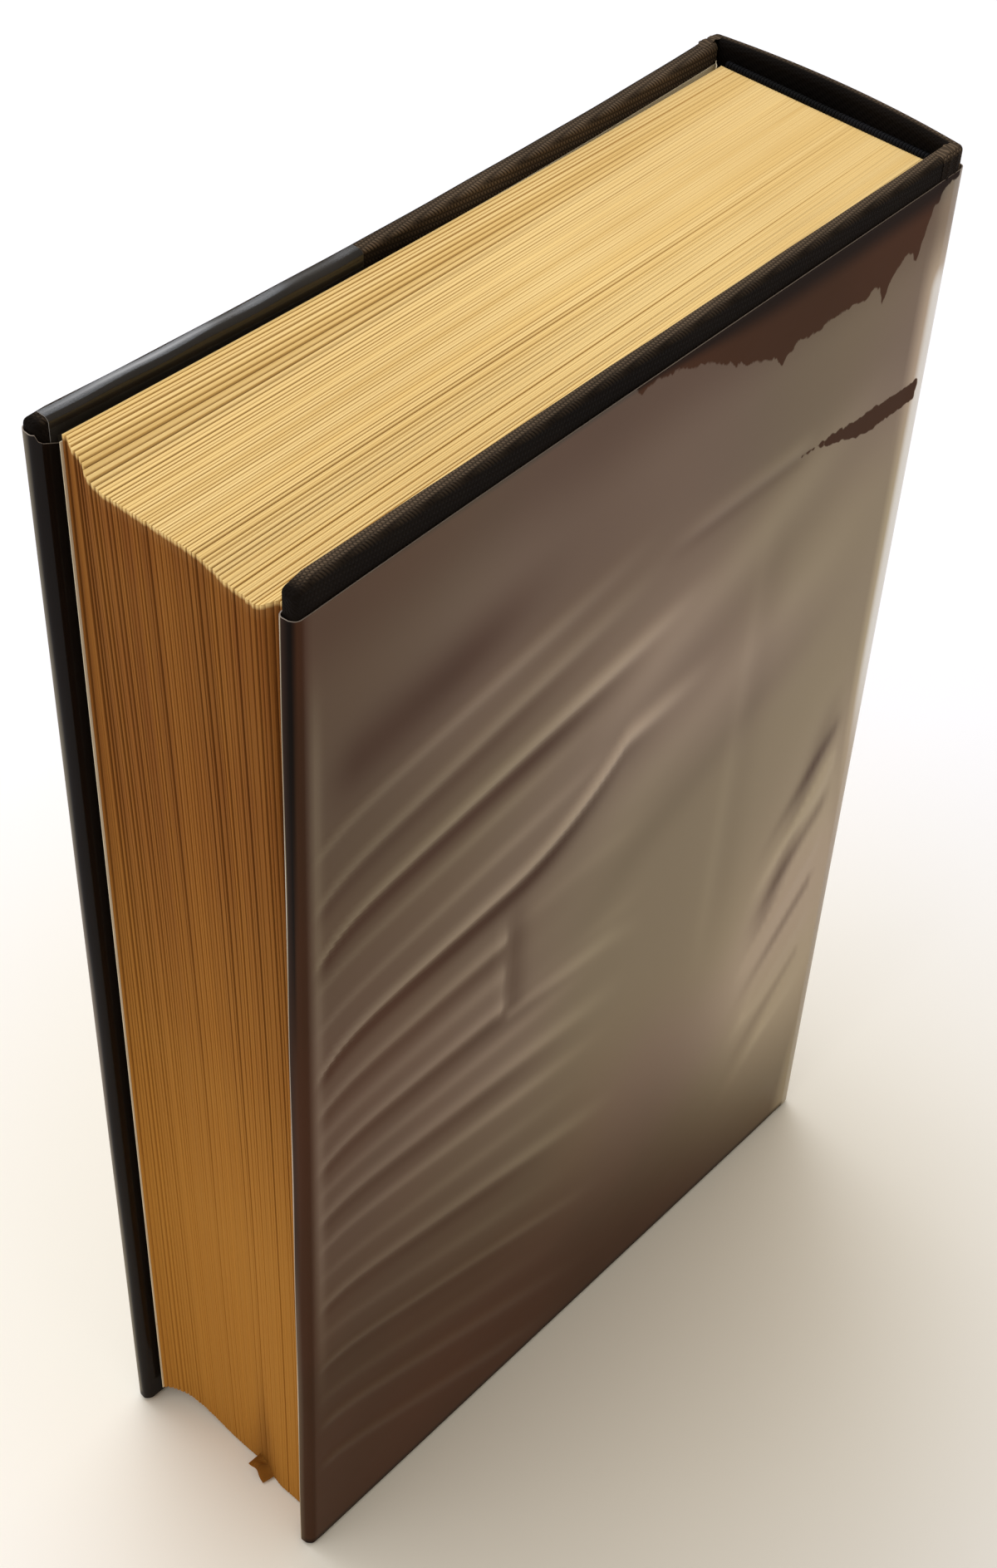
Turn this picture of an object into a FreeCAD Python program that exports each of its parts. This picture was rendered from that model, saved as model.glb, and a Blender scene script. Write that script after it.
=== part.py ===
"""Thick hardback book in a dust jacket, standing on its tail edge.

Frame: +Z up the spine, +X from the fore-edge to the spine, +Y from the back cover to the front cover.
The origin is under the middle of the closed book, on the surface that it stands on. Millimetres.
"""
import FreeCAD, Part
import math
import os

from FreeCAD import Vector

# Leaves
leaf_width = 121.0
leaf_height = 200.0
leaves_thickness = 35.05      # at the middle of the page, where the front cover presses on them
leaf_lean = 3.0               # heavy leaves lean: heads forward, tails back by this
leaf_sag = 3.1                # drop of the leaves at the fore-edge
fore_edge_hollow = 1.2
front_rise = 0.20             # share of the thickness over which the front leaves start to lean
back_rise = 0.09
leaf_fan = 0.7                # front leaves swell by this towards the ends of the bowed cover
leaf_bundles = 48             # groups of leaves that lie unevenly at the edges
leaf_unevenness = 0.12
bundle_turn = 2.4             # radians of the unevenness from one bundle to the next

# Squares, by which the case stands out past the leaves
head_square = 2.4
tail_square = 3.6
fore_square = 2.4
spine_square = 3.8            # from the leaves' spine edge to the corners of the spine

# Dog-eared leaf corner at the tail of the fore-edge
dog_ear_reach = 4.2
dog_ear_height = 5.0
dog_ear_tip_rise = 1.8
dog_ear_thickness = 0.5
dog_ear_place = 15.0          # from the back of the book

# Case
board_thickness = 1.7
spine_strip_thickness = 1.6
cloth_thickness = 0.35
cloth_edge_radius = 0.8
turn_in = 15.0                # cloth turned over the inside of the boards
front_bow = 1.4               # the front board has warped inwards by this at its middle
spine_bow = 1.7               # the spine bulges outwards by this at its middle
joint_gap = 0.3               # slit between a board and the spine's turned-in cloth
hinge_stand_off = 0.05        # the hinge line lies this far outside the jacket
leaf_clearance = 0.3          # front flyleaf to the bowed front cover

# Dust jacket
jacket_thickness = 0.2
jacket_lift = 0.6             # jacket's tail edge above the case's tail edge
jacket_drop = 3.4             # jacket's head edge below the case's head edge
flap_width = 52.0
film_thickness = 0.15         # clear film of the front flap, lapped over the board's head edge
film_corner_gap = 0.9
film_lap_end = 0.9            # the lap ends this far from the front panel's outside

# Endpapers and spine linings
endpaper_thickness = 0.15
flyleaf_gap = 0.05            # front flyleaf to the fanned leaves
pastedown_inset = 3.0
mull_thickness = 0.3
mull_end = 18.0               # mull stops this far from the leaves' head and tail
lining_thickness = 0.2
lining_end = 2.0
headband_tape_thickness = 0.3
headband_tape_height = 12.0
headband_radius = 0.85
headband_rise = 0.45          # the bead's middle above the head of the leaves
headband_back = 0.2           # the bead's middle behind the leaves' spine edge

# Depths of the layers of a cover, counted from the outside of the jacket
cloth_depth = jacket_thickness
board_depth = cloth_depth + cloth_thickness
turn_in_depth = board_depth + board_thickness
inside_depth = turn_in_depth + cloth_thickness
pastedown_depth = inside_depth + endpaper_thickness
flap_depth = pastedown_depth + jacket_thickness

# Overall sizes, worked out from the leaves and what lies round them
back_build = flap_depth + endpaper_thickness
front_build = front_bow + flap_depth + leaf_clearance + endpaper_thickness + flyleaf_gap
case_height = tail_square + leaf_height + head_square
case_width = fore_square + leaf_width + spine_square
case_thickness = back_build + leaves_thickness + front_build
overall_width = case_width + spine_bow
half_thickness = case_thickness / 2

# Places along X
fore_x = -overall_width / 2
spine_corner_x = fore_x + case_width
strip_outer_x = spine_corner_x - jacket_thickness - cloth_thickness
strip_inner_x = strip_outer_x - spine_strip_thickness
spine_inside_x = strip_inner_x - cloth_thickness
cover_end_x = spine_inside_x - joint_gap
hinge_x = spine_inside_x - joint_gap / 2
leaf_spine_x = spine_corner_x - spine_square
leaf_fore_x = fore_x + fore_square

# Places along Y and Z
leaves_back_y = -half_thickness + back_build
leaves_front_y = leaves_back_y + leaves_thickness
flyleaf_front_y = leaves_front_y + flyleaf_gap + endpaper_thickness
leaf_tail = tail_square
leaf_head = tail_square + leaf_height
jacket_tail = jacket_lift
jacket_head = case_height - jacket_drop


def solid_of(face, direction):
    """Extrudes a face into a solid."""
    return face.extrude(direction)


def arc_or_line(start, middle, end):
    """An arc through three points, or a straight edge where they are in line."""
    turn = (middle - start).cross(end - middle).Length
    if turn < 1e-6:
        return Part.makeLine(start, end)
    return Part.Arc(start, middle, end).toShape()


def bow_drop(x, depth, bow):
    """How far a bowed cover's layer at this depth lies inside its chord, at x."""
    if bow == 0:
        return 0.0
    chord = cover_end_x - fore_x
    radius = chord ** 2 / (8 * bow) + bow / 2
    middle = (fore_x + cover_end_x) / 2
    layer_radius = radius + depth
    return bow - layer_radius + math.sqrt(layer_radius ** 2 - (x - middle) ** 2)


def cover_point(side, x, depth, z):
    """A point of a cover: side 1 is the front and -1 the back, and depth counts from the jacket inwards."""
    bow = front_bow if side > 0 else 0.0
    return Vector(x, side * (half_thickness - depth - bow_drop(x, depth, bow)), z)


def cover_layer(side, x_low, x_high, depth_out, depth_in, z_low, z_high):
    """A layer of a cover between two depths, as a solid that follows the cover's bow."""
    middle = (x_low + x_high) / 2
    outer = [cover_point(side, x, depth_out, z_low) for x in (x_low, middle, x_high)]
    inner = [cover_point(side, x, depth_in, z_low) for x in (x_high, middle, x_low)]
    edges = [
        arc_or_line(*outer),
        Part.makeLine(outer[2], inner[0]),
        arc_or_line(*inner),
        Part.makeLine(inner[2], outer[0]),
    ]
    return solid_of(Part.Face(Part.Wire(edges)), Vector(0, 0, z_high - z_low))


def soften(shape, radius, keep):
    """Rounds the edges of a solid, apart from those that keep() asks to stay sharp."""
    edges = [edge for edge in shape.Edges if not keep(edge.BoundBox)]
    return shape.makeFillet(radius, edges)


def at_cover_end(box):
    """True for an edge at the spine end of a cover."""
    return box.XMin > cover_end_x - 1e-3


def not_upright_at_fore_edge(box):
    """True for each edge apart from the two upright ones at the fore-edge."""
    return box.ZLength < case_height / 2 or box.XMax > 0


def board(side):
    """Greyboard of one cover."""
    return cover_layer(side, fore_x + board_depth, cover_end_x, board_depth, turn_in_depth,
                       cloth_thickness, case_height - cloth_thickness)


def covered_board(side):
    """Outline of a cover with its cloth on, without jacket and endpaper."""
    block = cover_layer(side, fore_x + cloth_depth, cover_end_x, cloth_depth, inside_depth,
                        0, case_height)
    return soften(block, cloth_edge_radius, at_cover_end)


def bare_board_window(side, depth_in):
    """Space on the inside of a board that the cloth's turn-ins leave bare."""
    return cover_layer(side, fore_x + cloth_depth + turn_in, cover_end_x, turn_in_depth, depth_in,
                       turn_in, case_height - turn_in)


def cover_cloth(side):
    """Book cloth of one cover, turned over its head, tail and fore-edge."""
    return covered_board(side).cut([board(side), bare_board_window(side, inside_depth)])


def pastedown(side):
    """Endpaper glued to the inside of a board, down onto it between the turn-ins."""
    sheet = cover_layer(side, fore_x + cloth_depth + pastedown_inset, cover_end_x,
                        inside_depth, pastedown_depth,
                        pastedown_inset, case_height - pastedown_inset)
    well = bare_board_window(side, pastedown_depth)
    hollow = cover_layer(side, fore_x + cloth_depth + turn_in + endpaper_thickness, cover_end_x,
                         turn_in_depth + endpaper_thickness, pastedown_depth,
                         turn_in + endpaper_thickness, case_height - turn_in - endpaper_thickness)
    return sheet.fuse(well).cut(hollow).removeSplitter()


def film_lap():
    """Clear film at the head of the front flap, turned over the board's head edge."""
    x_low = fore_x + film_corner_gap
    x_high = fore_x + flap_width
    outer = cover_layer(1, x_low, x_high, film_lap_end, flap_depth,
                        jacket_head, case_height + film_thickness)
    inner = cover_layer(1, x_low - 1, x_high + 1, 0, pastedown_depth,
                        jacket_head - 1, case_height)

    def not_inside_head(box):
        return box.ZMin < case_height - 1e-3 or box.XLength < flap_width / 2 or box.YMax > inside_y

    inside_y = cover_point(1, x_low, film_lap_end + cloth_thickness, 0).y
    outer = soften(outer, cloth_edge_radius, not_inside_head)
    inner = soften(inner, cloth_edge_radius, not_inside_head)
    return outer.cut(inner)


def cover_jacket(side):
    """Jacket panel of one cover, wrapped round its fore-edge and turned in as a flap."""
    outer = cover_layer(side, fore_x, cover_end_x, 0, flap_depth, jacket_tail, jacket_head)
    outer = soften(outer, cloth_edge_radius + jacket_thickness, not_upright_at_fore_edge)
    inner = cover_layer(side, fore_x + jacket_thickness, cover_end_x, jacket_thickness, pastedown_depth,
                        jacket_tail, jacket_head)
    inner = soften(inner, cloth_edge_radius, not_upright_at_fore_edge)
    beyond_flap = cover_layer(side, fore_x + flap_width, cover_end_x, pastedown_depth / 2, flap_depth,
                              jacket_tail, jacket_head)
    sheet = outer.cut([inner, beyond_flap])
    if side > 0:
        sheet = sheet.fuse(film_lap()).removeSplitter()
    return sheet


def spine_block(x_inner, x_outer, half_width, z_low, z_high):
    """A slab of the spine between two x at its corners, bulging with the spine."""
    bulge = spine_bow * (half_width / half_thickness) ** 2
    corners = [
        Vector(x_outer, -half_width, z_low), Vector(x_outer + bulge, 0, z_low),
        Vector(x_outer, half_width, z_low), Vector(x_inner, half_width, z_low),
        Vector(x_inner + bulge, 0, z_low), Vector(x_inner, -half_width, z_low),
    ]
    edges = [
        arc_or_line(*corners[0:3]),
        Part.makeLine(corners[2], corners[3]),
        arc_or_line(*corners[3:6]),
        Part.makeLine(corners[5], corners[0]),
    ]
    return solid_of(Part.Face(Part.Wire(edges)), Vector(0, 0, z_high - z_low))


def spine_inner_edge(box):
    """True for each edge of a spine slab on its inside."""
    return box.XMax < strip_inner_x + spine_bow + 1e-3 and box.XMin < strip_inner_x + 1e-3


def not_upright_outside(box):
    """True for each edge of a spine slab apart from its two upright outer ones."""
    return box.ZLength < case_height / 2 or box.XMin < strip_outer_x - 1e-3


def spine_strip():
    """Stiff strip inside the cloth of the spine."""
    return spine_block(strip_inner_x, strip_outer_x, half_thickness - board_depth,
                       cloth_thickness, case_height - cloth_thickness)


def spine_cloth():
    """Book cloth round the spine strip, turned in at its head and tail."""
    half_width = half_thickness - cloth_depth
    block = spine_block(spine_inside_x, spine_corner_x - jacket_thickness, half_width, 0, case_height)
    block = soften(block, cloth_edge_radius, spine_inner_edge)
    window = spine_block(spine_inside_x - 1, strip_inner_x, half_thickness - board_depth,
                         turn_in, case_height - turn_in)
    return block.cut([spine_strip(), window])


def jacket_spine():
    """Jacket over the spine, with the short returns that meet the cover panels."""
    outer = spine_block(spine_inside_x, spine_corner_x, half_thickness, jacket_tail, jacket_head)
    outer = soften(outer, cloth_edge_radius + jacket_thickness, not_upright_outside)
    inner = spine_block(spine_inside_x - 1, spine_corner_x - jacket_thickness,
                        half_thickness - jacket_thickness, jacket_tail, jacket_head)
    inner = soften(inner, cloth_edge_radius, not_upright_outside)
    return outer.cut(inner)


def ease(share):
    """Smooth step from 0 to 1."""
    share = min(max(share, 0.0), 1.0)
    return share * share * (3 - 2 * share)


def leaf_corners(y, share, uneven=0.0):
    """Corners of the leaf at y. The share counts from the front leaf, 0, to the back leaf, 1."""
    give = ease(share / front_rise) * ease((1 - share) / back_rise)
    fore_tail = leaf_fore_x + (fore_edge_hollow + leaf_lean) * give + uneven
    fore_head = leaf_fore_x + (fore_edge_hollow - leaf_lean) * give + uneven
    drop = leaf_sag * give + uneven
    return [
        Vector(leaf_spine_x, y, leaf_tail), Vector(leaf_spine_x, y, leaf_head),
        Vector(fore_head, y, leaf_head - drop), Vector(fore_tail, y, leaf_tail - drop),
    ]


def leaf_sheet(y, share, thickness, uneven=0.0):
    """A straight stack of leaves from y forwards."""
    corners = leaf_corners(y, share, uneven)
    outline = Part.makePolygon(corners + corners[:1])
    return solid_of(Part.Face(outline), Vector(0, thickness, 0))


def leaf_slab(y_back, y_front):
    """A solid between a flat back and a front that swells with the fanned front leaves."""
    margin = leaf_lean
    x_low = leaf_fore_x - margin
    x_high = leaf_spine_x + margin
    middle = (x_low + x_high) / 2
    back = [Vector(x_low, y_back, 0), Vector(x_high, y_back, 0)]
    front = [Vector(x_high, y_front + leaf_fan, 0), Vector(middle, y_front, 0),
             Vector(x_low, y_front + leaf_fan, 0)]
    edges = [
        Part.makeLine(back[0], back[1]), Part.makeLine(back[1], front[0]),
        arc_or_line(*front), Part.makeLine(front[2], back[0]),
    ]
    return solid_of(Part.Face(Part.Wire(edges)), Vector(0, 0, case_height))


def dog_ear():
    """Crumpled corner of a leaf that sticks out at the tail of the fore-edge."""
    y = -half_thickness + dog_ear_place
    share = (leaves_front_y - y) / (leaves_front_y - leaves_back_y)
    foot = leaf_corners(y, share)[3]
    root = foot + Vector(dog_ear_reach, 0, 0)
    tip = foot + Vector(-dog_ear_reach, 0, dog_ear_tip_rise)
    top = foot + Vector(0, 0, dog_ear_height)
    inner_top = root + Vector(0, 0, dog_ear_height)
    outline = Part.makePolygon([root, foot, tip, top, inner_top, root])
    return solid_of(Part.Face(outline), Vector(0, dog_ear_thickness, 0))


def text_block():
    """All the leaves as one solid of uneven bundles, leaning and sagging in the middle of the block."""
    depth = leaves_front_y + leaf_fan - leaves_back_y
    bundle = depth / leaf_bundles
    bundles = []
    for index in range(leaf_bundles):
        share = 1 - (index + 0.5) / leaf_bundles
        uneven = leaf_unevenness * math.sin(bundle_turn * index)
        bundles.append(leaf_sheet(leaves_back_y + bundle * index, share, bundle, uneven))
    block = bundles[0].multiFuse(bundles[1:] + [dog_ear()])
    return block.common(leaf_slab(leaves_back_y, leaves_front_y)).removeSplitter()


def front_flyleaf():
    """Free endpaper at the front, bent like the front leaves."""
    flyleaf_inner_y = flyleaf_front_y - endpaper_thickness
    inside = leaf_slab(leaves_back_y - leaf_clearance, flyleaf_inner_y)
    bend = leaf_slab(leaves_back_y, flyleaf_front_y).cut(inside)
    return leaf_sheet(flyleaf_inner_y, 0, leaf_fan + endpaper_thickness).common(bend)


def back_flyleaf():
    """Free endpaper at the back, flat against the back cover."""
    return leaf_sheet(leaves_back_y - endpaper_thickness, 0, endpaper_thickness)


def spine_layer(x_low, thickness, z_low, z_high):
    """A flat lining on the leaves' spine edge."""
    depth = leaves_front_y - leaves_back_y
    return Part.makeBox(thickness, depth, z_high - z_low, Vector(x_low, leaves_back_y, z_low))


def band(z_edge, outwards):
    """Headband or tailband: a tape on the spine edge with a sewn bead along it."""
    tape_z = z_edge - headband_tape_height if outwards > 0 else z_edge
    tape = spine_layer(leaf_spine_x, headband_tape_thickness, tape_z, tape_z + headband_tape_height)
    centre = Vector(leaf_spine_x + headband_back, leaves_back_y, z_edge + outwards * headband_rise)
    bead = Part.makeCylinder(headband_radius, leaves_front_y - leaves_back_y, centre, Vector(0, 1, 0))
    tail_dip = leaf_sag * headband_radius / leaf_width
    leaves_edge = spine_layer(leaf_spine_x - leaf_width, leaf_width, leaf_tail - tail_dip, leaf_head)
    return tape.fuse(bead).cut([leaves_edge, spine_lining()]).removeSplitter()


def spine_mull():
    """Gauze glued to the spine edge of the leaves, between the two bands."""
    return spine_layer(leaf_spine_x, mull_thickness, leaf_tail + mull_end, leaf_head - mull_end)


def spine_lining():
    """Paper over the gauze and the tapes of the two bands."""
    inner = max(mull_thickness, headband_tape_thickness)
    return spine_layer(leaf_spine_x + inner, lining_thickness, leaf_tail + lining_end, leaf_head - lining_end)


def make_nodes():
    """Every piece of the book by name."""
    return {
        "text_block": text_block(),
        "headband": band(leaf_head, 1),
        "tailband": band(leaf_tail, -1),
        "spine_mull": spine_mull(),
        "spine_lining": spine_lining(),
        "front_flyleaf": front_flyleaf(),
        "back_flyleaf": back_flyleaf(),
        "spine_strip": spine_strip(),
        "spine_cloth": spine_cloth(),
        "jacket_spine": jacket_spine(),
        "front_board": board(1),
        "front_cloth": cover_cloth(1),
        "front_pastedown": pastedown(1),
        "jacket_front": cover_jacket(1),
        "back_board": board(-1),
        "back_cloth": cover_cloth(-1),
        "back_pastedown": pastedown(-1),
        "jacket_back": cover_jacket(-1),
    }


def write_parts():
    """Writes one STEP file for each piece."""
    os.makedirs("parts", exist_ok=True)
    for name, shape in make_nodes().items():
        box = shape.BoundBox
        print(name, "valid", shape.isValid(), "solids", len(shape.Solids), "volume", round(shape.Volume, 1),
              "x", round(box.XMin, 2), round(box.XMax, 2), "y", round(box.YMin, 2), round(box.YMax, 2),
              "z", round(box.ZMin, 2), round(box.ZMax, 2))
        shape.exportStep("parts/" + name + ".step")
    print("hinge x", round(hinge_x, 3), "y", round(half_thickness + hinge_stand_off, 3))


write_parts()
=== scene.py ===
"""Looks of a thick hardback book in a glossy dust jacket, standing on its tail edge.

Frame: +Z up the spine, +X from the fore-edge to the spine, +Y from the back cover to the front cover.
Sizes are in millimetres, as in the part's source, and become metres where a mesh is written.
A layer of a cover is placed by its depth, counted from the outside of the jacket inwards.
"""
import math
import bpy
import numpy as np
from mathutils import Matrix, Vector


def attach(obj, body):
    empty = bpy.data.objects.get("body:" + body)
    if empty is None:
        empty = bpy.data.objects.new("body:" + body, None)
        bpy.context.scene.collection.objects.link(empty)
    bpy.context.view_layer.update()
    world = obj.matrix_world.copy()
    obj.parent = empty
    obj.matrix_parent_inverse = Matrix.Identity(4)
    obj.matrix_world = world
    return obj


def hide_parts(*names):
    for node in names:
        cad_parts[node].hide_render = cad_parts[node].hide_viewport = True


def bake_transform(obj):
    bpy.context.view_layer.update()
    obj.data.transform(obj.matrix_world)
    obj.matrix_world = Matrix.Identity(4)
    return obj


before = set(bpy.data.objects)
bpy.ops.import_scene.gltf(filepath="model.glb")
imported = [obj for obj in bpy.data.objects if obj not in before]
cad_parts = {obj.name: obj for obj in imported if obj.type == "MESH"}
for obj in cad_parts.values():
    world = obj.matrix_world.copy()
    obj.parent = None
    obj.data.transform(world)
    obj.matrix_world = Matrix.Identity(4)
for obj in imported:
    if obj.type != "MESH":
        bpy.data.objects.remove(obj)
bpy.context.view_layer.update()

MM = 0.001
FRONT, BACK = 1, -1
COVER_BODY = {FRONT: "front_cover", BACK: "back_cover"}
SIDE_NAME = {FRONT: "front", BACK: "back"}

# Sizes of the book, as in the part's source
HALF_THICKNESS = 21.5
CASE_HEIGHT = 206.0
FORE_X = -64.45
SPINE_CORNER_X = 62.75
SPINE_INSIDE_X = 60.25
SPINE_BOW = 1.7
COVER_END_X = 59.95
HINGE_X = 60.1
LEAF_SPINE_X = 58.95
LEAF_FORE_X = -62.05
LEAF_TAIL, LEAF_HEAD = 3.6, 203.6
LEAVES_BACK_Y, LEAVES_FRONT_Y = -18.4, 16.65
LEAF_LEAN, LEAF_SAG, FORE_EDGE_HOLLOW, TAIL_HOLLOW = 3.0, 3.1, 1.2, 3.3
FRONT_RISE, BACK_RISE, LEAF_FAN = 0.20, 0.09, 0.7
FRONT_BOW = 1.4
EAR_Y = -6.4
TURN_IN = 15.0
CLOTH_THICKNESS, CLOTH_RADIUS = 0.35, 0.8
JACKET_TAIL, JACKET_HEAD = 0.9, 202.5
FLAP_WIDTH = 52.0
PAPER_THICKNESS = 0.12

# Depths of the layers
JACKET_SHEET = 0.15
CLOTH_DEPTH, BOARD_DEPTH, TURN_IN_DEPTH, INSIDE_DEPTH = 0.2, 0.55, 2.25, 2.6
PASTEDOWN_DEPTH, FLAP_DEPTH = 2.75, 2.95

# The covers gape at the head of the fore-edge and are pinched at its tail, and the book leans a little
HEAD_GAPE, TAIL_GAPE = {FRONT: 1.0, BACK: 0.8}, {FRONT: -0.2, BACK: -0.82}
HEAD_LEAN, FRONT_TAIL_LEAN = 0.9, 0.6


# Placing

def ease(share):
    """Smooth step from 0 to 1."""
    share = np.clip(share, 0.0, 1.0)
    return share * share * (3 - 2 * share)


def hump(distance, width):
    """A soft ridge of height 1."""
    return np.exp(-(distance / width) ** 2)


def between(value, start, rise, end, fall):
    """1 between two places, with a smooth flank at each."""
    return ease((value - start) / rise) * (1 - ease((value - end) / fall))


def flared(x, y, z):
    """Opens the closed book at the head of its fore-edge, pinches it at the tail and leans it."""
    rise = z / CASE_HEIGHT
    gape = np.where(y > 0, TAIL_GAPE[FRONT] + (HEAD_GAPE[FRONT] - TAIL_GAPE[FRONT]) * rise,
                    TAIL_GAPE[BACK] + (HEAD_GAPE[BACK] - TAIL_GAPE[BACK]) * rise)
    reach = np.clip((HINGE_X - 0.2 - x) / (HINGE_X - FORE_X), 0, None)
    lean = FRONT_TAIL_LEAN * (1 - rise) * np.clip(y / HALF_THICKNESS, 0, 1) - HEAD_LEAN * rise
    return np.stack([x + lean * reach, y * (1 + gape * reach / HALF_THICKNESS), z], axis=-1)


def bow_drop(side, x, depth):
    """How far a layer of the warped front board lies inside its chord."""
    if side == BACK:
        return 0 * x
    chord = COVER_END_X - FORE_X
    radius = chord ** 2 / (8 * FRONT_BOW) + FRONT_BOW / 2 + depth
    middle = (FORE_X + COVER_END_X) / 2
    along = np.clip(x, FORE_X, COVER_END_X) - middle
    return FRONT_BOW - radius + np.sqrt(radius ** 2 - along ** 2)


def on_cover(side, x, depth, z):
    """Puts points given by depth onto a cover."""
    return flared(x, side * (HALF_THICKNESS - depth - bow_drop(side, x, depth)), z)


def on_spine(x, y, z):
    """Lets a straight spine bulge outwards at its middle."""
    return flared(x + SPINE_BOW * (1 - (y / HALF_THICKNESS) ** 2), y, z)


# Making meshes

def clear_selection():
    """Leaves edit mode with nothing selected."""
    if bpy.context.object and bpy.context.mode != "OBJECT":
        bpy.ops.object.mode_set(mode="OBJECT")
    bpy.ops.object.select_all(action="DESELECT")


def pick(piece):
    """Makes one piece the only one that operators act on."""
    clear_selection()
    piece.select_set(True)
    bpy.context.view_layer.objects.active = piece


def new_piece(name):
    """Names the primitive just made and bakes its place into its mesh."""
    piece = bpy.context.object
    piece.name = piece.data.name = name
    bpy.ops.object.transform_apply(location=True, rotation=True, scale=True)
    return piece


def block(name, low, high):
    """A block between two corners, to be cut and bent."""
    clear_selection()
    low, high = Vector(low), Vector(high)
    bpy.ops.mesh.primitive_cube_add(size=1, location=(low + high) / 2 * MM, scale=(high - low) * MM)
    return new_piece(name)


def points_of(piece):
    """Points of a mesh as columns x, y and z."""
    flat = np.zeros(len(piece.data.vertices) * 3)
    piece.data.vertices.foreach_get("co", flat)
    return flat.reshape(-1, 3).T


def flat_sheet(name, columns, rows):
    """A flat sheet of cells with a UV map, and the places of its points from 0 to 1 each way."""
    clear_selection()
    bpy.ops.mesh.primitive_grid_add(x_subdivisions=columns, y_subdivisions=rows, size=1,
                                    location=(0.5, 0.5, 0))
    piece = new_piece(name)
    u, v, _ = points_of(piece)
    return piece, u, v


def along_line(share, line):
    """Columns of a list of rows, read off at each point's share of its length."""
    return np.array(line)[np.rint(share * (len(line) - 1)).astype(int)].T


def write_points(piece, places):
    """Moves all points of a mesh to places given in millimetres."""
    piece.data.vertices.foreach_set("co", (np.asarray(places) * MM).ravel())
    piece.data.update()


def bend(piece, place):
    """Moves every point of a piece made in millimetres with place(x, y, z)."""
    x, y, z = points_of(piece) / MM
    write_points(piece, place(x, y, z))


def paint(piece, **layers):
    """Keeps numbers for each point, for the material to read by their names."""
    for name, values in layers.items():
        layer = piece.data.attributes.new(name, "FLOAT", "POINT")
        layer.data.foreach_set("value", np.asarray(values, np.float32))


def write_uv(piece, across, along):
    """Gives the sheet a UV map in metres of flat sheet, from one place for each point."""
    corners = np.zeros(len(piece.data.loops), np.int32)
    piece.data.loops.foreach_get("vertex_index", corners)
    pairs = np.stack([across[corners], along[corners]], axis=-1) * MM
    piece.data.uv_layers[0].data.foreach_set("uv", pairs.ravel())


def select_parts(piece, kind, test):
    """Selects in edit mode the edges or faces whose every point passes the test, in millimetres."""
    pick(piece)
    bpy.ops.object.mode_set(mode="EDIT")
    bpy.ops.mesh.select_mode(type=kind)
    bpy.ops.mesh.select_all(action="DESELECT")
    bpy.ops.object.mode_set(mode="OBJECT")
    points = points_of(piece).T / MM
    for part in piece.data.edges if kind == "EDGE" else piece.data.polygons:
        part.select = bool(test(points[list(part.vertices)]))
    bpy.ops.object.mode_set(mode="EDIT")


def round_edges(piece, test, radius, segments):
    """Rounds the edges whose every point passes the test."""
    select_parts(piece, "EDGE", test)
    bpy.ops.mesh.bevel(offset=radius * MM, segments=segments, affect="EDGES")


def edit_whole(piece, operator, **settings):
    """Runs a mesh operator on all of a piece."""
    pick(piece)
    bpy.ops.object.mode_set(mode="EDIT")
    bpy.ops.mesh.select_all(action="SELECT")
    operator(**settings)
    bpy.ops.object.mode_set(mode="OBJECT")


def slice_up(piece, axis, low, high, count):
    """Cuts a piece across one axis into even slices, so that it can bend."""
    pick(piece)
    bpy.ops.object.mode_set(mode="EDIT")
    normal = [0, 0, 0]
    normal[axis] = 1
    for place in np.linspace(low, high, count + 1)[1:-1]:
        bpy.ops.mesh.select_all(action="SELECT")
        bpy.ops.mesh.bisect(plane_co=[part * place * MM for part in normal], plane_no=normal)
    bpy.ops.object.mode_set(mode="OBJECT")


def with_modifier(piece, kind, **settings):
    """Adds a modifier and applies it at once."""
    pick(piece)
    modifier = piece.modifiers.new(kind.title(), kind)
    for name, value in settings.items():
        setattr(modifier, name, value)
    bpy.ops.object.modifier_apply(modifier=modifier.name)


def thicken(piece, thickness, offset=-1.0, materials=()):
    """Gives a sheet its thickness to one side. Its cut rim takes the second material."""
    for material in materials:
        piece.data.materials.append(material)
    with_modifier(piece, "SOLIDIFY", thickness=thickness * MM, offset=offset, use_even_offset=False,
                  material_offset_rim=1)


def face_outwards(piece):
    """Turns all faces of a closed mesh outwards."""
    edit_whole(piece, bpy.ops.mesh.normals_make_consistent, inside=False)


def dress(piece, materials, smooth=35):
    """Turns a piece's faces outwards and gives it materials and smooth shading up to an angle."""
    face_outwards(piece)
    for material in materials:
        piece.data.materials.append(material)
    bpy.ops.object.shade_smooth_by_angle(angle=math.radians(smooth))


# Materials

def feed(tree, node, inputs):
    """Sets or links a node's inputs."""
    for name, value in inputs.items():
        if isinstance(value, bpy.types.NodeSocket):
            tree.links.new(value, node.inputs[name])
        else:
            node.inputs[name].default_value = value


def add_node(tree, kind, inputs, **settings):
    """Adds a shader node, with its options and inputs."""
    node = tree.nodes.new(kind)
    for name, value in settings.items():
        setattr(node, name, value)
    feed(tree, node, inputs)
    return node


def calc(tree, operation, first, second=0.0):
    """A math node's result."""
    return add_node(tree, "ShaderNodeMath", {0: first, 1: second}, operation=operation).outputs[0]


def times(tree, first, second):
    """The product of two values."""
    return calc(tree, "MULTIPLY", first, second)


def plus(tree, first, second):
    """The sum of two values."""
    return calc(tree, "ADD", first, second)


def minus(tree, first, second):
    """The first value less the second."""
    return calc(tree, "SUBTRACT", first, second)


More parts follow.
